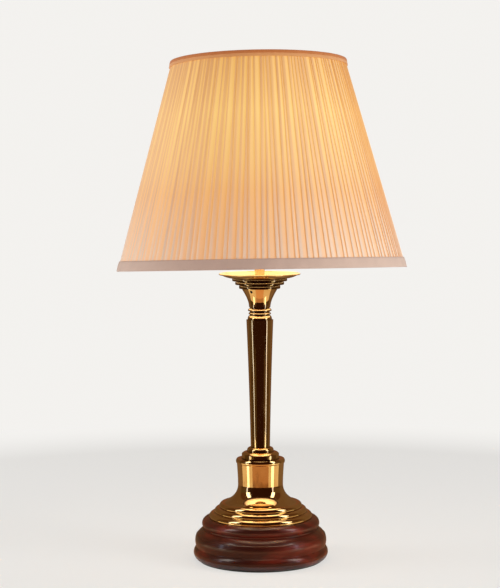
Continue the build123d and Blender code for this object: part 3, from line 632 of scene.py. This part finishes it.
def paintNodes():
    columnLow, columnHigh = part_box("column")
    dented = brassMaterial("brassColumn", brass["dentDepth"], columnLow.z + brass["dentStart"],
                           columnHigh.z)
    plain = brassMaterial("brassTurned")
    hidden = brassMaterial("brassFittings", grooves=False)
    paint(dented, "column")
    paint(plain, "foot", "lower_collar", "upper_collar", "neck", "capital_bell", "drip_pan")
    paint(brassMaterial("brassSteps", tone=brass["stepTone"]), "step_ring")
    paint(brassMaterial("brassSleeve", grooves=False, worn=brass["sleeveWear"]), "riser_sleeve")
    paint(hidden, "cord_bush", "terminal_screws", "holder_cap", "holder_shell",
          "centre_contact", "carrier_ring", "carrier_wires", "carrier_hub", "carrier_nut",
          "gimbal_plate")
    paint(mahoganyMaterial("mahogany"), "plinth")
    for name, names in {
            "baize": ("base_pad",),
            "blackenedSteel": ("grub_screw",),
            "steel": ("tie_rod", "rod_washer", "rod_nut", "holder_nut", "gimbal_pins"),
            "nickel": ("screw_shell", "bulb_contact", "bulb_cap"),
            "terminalPlastic": ("terminal_block",),
            "blackPlastic": ("switch_bar", "bulb_insulator", "clamp_ring_lower", "clamp_ring_upper"),
            "greenLead": ("earth_lead",),
            "brownLead": ("live_lead",),
            "blueLead": ("neutral_lead",),
            "porcelain": ("holder_insert",),
            "frameEnamel": ("gimbal_ring", "drop_arms", "top_wire_ring", "bottom_wire_ring",
                            "frame_struts")}.items():
        paint(plainMaterial(name), *names)
    paint(glowMaterial("bulbGlass", glow["glassColour"], glow["glassGlow"],
                       glow["glassStrength"], 0.85), "bulb_glass")
    paint(glowMaterial("stemGlass", glow["glassColour"], glow["glassGlow"], 1.0, 0.6), "bulb_stem")
    paint(glowMaterial("filament", glow["filamentColour"], glow["filamentColour"],
                       glow["filamentStrength"], 1.0), "filaments")


paintNodes()
print("nodes painted")


# floor, world, soft lamps, and cards that only reflections see
studio = {
    "floorColour": (0.93, 0.915, 0.89),
    "floorSize": 24.0,
    "fadeStart": 0.35,
    "fadeEnd": 1.1,
    "nearFade": 0.66,
    "background": (0.90, 0.885, 0.86),
    "ambient": 0.25,
    "lampDistance": 1.9,
    "lampSize": (0.9, 1.6),
    "lampHeight": 0.75,
    "aimHeight": 0.35,
    "lamps": {"rightLamp": {"turn": 65, "power": 29.0}, "leftLamp": {"turn": -88, "power": 22.0}},
}

# what the brass mirrors, at every height round the lamp: turns are in degrees from the front to
# the right, the rest in metres and light
surround = {
    "darkFront": {"start": -57, "end": 58, "low": 0.0, "high": 2.0, "light": (0.028, 0.008, 0.003)},
    "stripRight": {"start": 61, "end": 67, "low": 0.0, "high": 0.55, "light": (1.5, 1.6, 2.1)},
    "stripLeft": {"start": -74, "end": -68.5, "low": 0.0, "high": 0.55, "light": (1.3, 1.45, 1.9)},
    "windowRight": {"start": 58, "end": 76, "low": 0.55, "high": 1.7, "light": (3.2, 3.1, 2.8)},
    "windowLeft": {"start": -76, "end": -57, "low": 0.55, "high": 1.7, "light": (3.2, 3.1, 2.8)},
    "gapRight": {"start": 58, "end": 61, "low": 0.0, "high": 0.55, "light": (0.06, 0.025, 0.008)},
    "gapLeft": {"start": -68.5, "end": -57, "low": 0.0, "high": 0.55, "light": (0.06, 0.025, 0.008)},
    "sideRight": {"start": 67, "end": 112, "low": 0.0, "high": 0.55, "light": (0.13, 0.075, 0.030)},
    "sideLeft": {"start": -112, "end": -74, "low": 0.0, "high": 0.55, "light": (0.10, 0.060, 0.024)},
    "highRight": {"start": 76, "end": 112, "low": 0.55, "high": 2.0, "light": (0.10, 0.04, 0.015)},
    "highLeft": {"start": -112, "end": -76, "low": 0.55, "high": 2.0, "light": (0.10, 0.04, 0.015)},
    "backRight": {"start": 112, "end": 168, "low": 0.0, "high": 2.0, "light": (0.17, 0.095, 0.045)},
    "backLeft": {"start": -168, "end": -112, "low": 0.0, "high": 2.0, "light": (0.15, 0.085, 0.04)},
    "backMiddle": {"start": 168, "end": 192, "low": 0.0, "high": 2.0, "light": (0.20, 0.08, 0.035)},
}
surroundDistance = 1.4
# what it mirrors of the floor and the ceiling: near and far are metres from the lamp's axis
floorCardHeight = 0.002
floorCards = {
    "warmNear": {"near": 0.085, "far": 0.16, "start": -180, "end": 180,
                 "light": (0.34, 0.16, 0.08)},
    "amberFloor": {"near": 0.16, "far": 0.26, "start": -40, "end": 40,
                   "light": (0.78, 0.38, 0.16)},
    "tanFloor": {"near": 0.26, "far": 0.43, "start": -40, "end": 40,
                 "light": (0.52, 0.24, 0.10)},
    "paleFloorRight": {"near": 0.16, "far": 0.50, "start": 40, "end": 100,
                       "light": (0.85, 0.62, 0.36)},
    "paleFloorLeft": {"near": 0.16, "far": 0.50, "start": -100, "end": -40,
                      "light": (0.85, 0.62, 0.36)},
    "backFloor": {"near": 0.16, "far": 0.60, "start": 100, "end": 260,
                  "light": (0.22, 0.13, 0.065)},
    "darkFloor": {"near": 0.43, "far": 1.4, "start": -40, "end": 40,
                  "light": (0.028, 0.008, 0.003)},
    "brownFloorRight": {"near": 0.50, "far": 1.4, "start": 40, "end": 112,
                        "light": (0.09, 0.048, 0.018)},
    "brownFloorLeft": {"near": 0.50, "far": 1.4, "start": -112, "end": -40,
                       "light": (0.08, 0.044, 0.016)},
    "farFloor": {"near": 0.60, "far": 1.4, "start": 112, "end": 248,
                 "light": (0.16, 0.09, 0.042)},
    "litFloorRight": {"near": 0.28, "far": 0.72, "start": 54, "end": 69, "height": 0.003,
                      "light": (2.3, 2.1, 1.6)},
    "litFloorLeft": {"near": 0.28, "far": 0.72, "start": -69, "end": -57, "height": 0.003,
                     "light": (2.5, 2.2, 1.7)},
    "lineRight": {"near": 0.72, "far": 1.4, "start": 62, "end": 69, "height": 0.003,
                  "light": (1.5, 1.6, 2.1)},
    "lineLeft": {"near": 0.72, "far": 1.4, "start": -72, "end": -66, "height": 0.003,
                 "light": (1.3, 1.45, 1.9)},
    "darkCeiling": {"near": 0.0, "far": 1.6, "start": -180, "end": 180, "height": 2.0,
                    "light": (0.10, 0.055, 0.035)},
}


def addLamp(name, place, aim, size, power):
    data = bpy.data.lights.new(name, "AREA")
    data.shape = "RECTANGLE"
    data.size, data.size_y = size
    data.energy = power
    lamp = bpy.data.objects.new(name, data)
    lamp.location = place
    lamp.rotation_euler = (Vector(aim) - Vector(place)).to_track_quat("-Z", "Y").to_euler()
    lamp.visible_camera = False
    lamp.visible_glossy = False
    bpy.context.scene.collection.objects.link(lamp)


def addCard(name, corners, faces, light):
    card = makeMesh(name, corners, faces, False)
    shader = Shader(name)
    shine = shader.node("ShaderNodeEmission", inputs={"Color": (*light, 1.0)})
    shader.node("ShaderNodeOutputMaterial", inputs={"Surface": shine})
    card.data.materials.append(shader.material)
    card.visible_camera = False
    card.visible_diffuse = False
    card.visible_transmission = False
    card.visible_shadow = False


def frontTurn(turn):
    angle = math.radians(turn - 90)
    return Vector((math.cos(angle), math.sin(angle), 0))


def turnsOf(card):
    steps = max(2, round((card["end"] - card["start"]) / 6))
    return [frontTurn(card["start"] + (card["end"] - card["start"]) * step / steps)
            for step in range(steps + 1)]


def addRibbon(name, pairs, light):
    # a strip of quads between two rows of corners
    faces = [(2 * i, 2 * i + 1, 2 * i + 3, 2 * i + 2) for i in range(len(pairs) - 1)]
    addCard(name, [corner for pair in pairs for corner in pair], faces, light)


def addSurroundCard(name, card):
    low, high = Vector((0, 0, card["low"])), Vector((0, 0, card["high"]))
    addRibbon(name, [(out * surroundDistance + low, out * surroundDistance + high)
                     for out in turnsOf(card)], card["light"])


def addFloorCard(name, card):
    lift = Vector((0, 0, card.get("height", floorCardHeight)))
    addRibbon(name, [(out * card["near"] + lift, out * card["far"] + lift) for out in turnsOf(card)],
              card["light"])


def makeFloor():
    half = studio["floorSize"] / 2
    floor = makeMesh("floor", [(-half, -half, 0), (half, -half, 0), (half, half, 0), (-half, half, 0)],
                     [(0, 1, 2, 3)], False)
    shader = Shader("floorPaper")
    place = shader.place()
    x, y, z = shader.split(place)
    away = shader.band((x * x + y * y) ** 0.5, studio["fadeStart"], studio["fadeEnd"])
    cloud = shader.noise(place, 3.0, 2.0)
    pale = studio["floorColour"]
    colour = shader.mix(cloud, pale, tuple(0.985 * part for part in pale))
    paper = shader.node("ShaderNodeBsdfDiffuse", inputs={"Color": colour})
    distant = shader.node("ShaderNodeEmission", inputs={"Color": (*studio["background"], 1.0)})
    camera = shader.node("ShaderNodeLightPath", output="Is Camera Ray")
    seen = shader.node("ShaderNodeMixShader", inputs={0: away.most(studio["nearFade"] * camera),
                                                      1: paper, 2: distant})
    shader.node("ShaderNodeOutputMaterial", inputs={"Surface": seen})
    floor.data.materials.append(shader.material)


def makeWorld():
    shader = Shader("world", world)
    path = shader.node("ShaderNodeLightPath", output="Is Camera Ray")
    outputs = path.socket.node.outputs
    seen = path.most(Socket(shader, outputs["Is Glossy Ray"])).most(
        Socket(shader, outputs["Is Transmission Ray"]))
    strength = studio["ambient"] + (1.0 - studio["ambient"]) * seen
    sky = shader.node("ShaderNodeBackground", inputs={"Color": (*studio["background"], 1.0),
                                                      "Strength": strength})
    shader.node("ShaderNodeOutputWorld", inputs={"Surface": sky})


def lightStudio():
    for name, lamp in studio["lamps"].items():
        place = frontTurn(lamp["turn"]) * studio["lampDistance"]
        place.z = studio["lampHeight"]
        addLamp(name, place, (0, 0, studio["aimHeight"]), studio["lampSize"], lamp["power"])
    for name, card in surround.items():
        addSurroundCard(name, card)
    for name, card in floorCards.items():
        addFloorCard(name, card)


makeFloor()
makeWorld()
lightStudio()
print("studio lit")
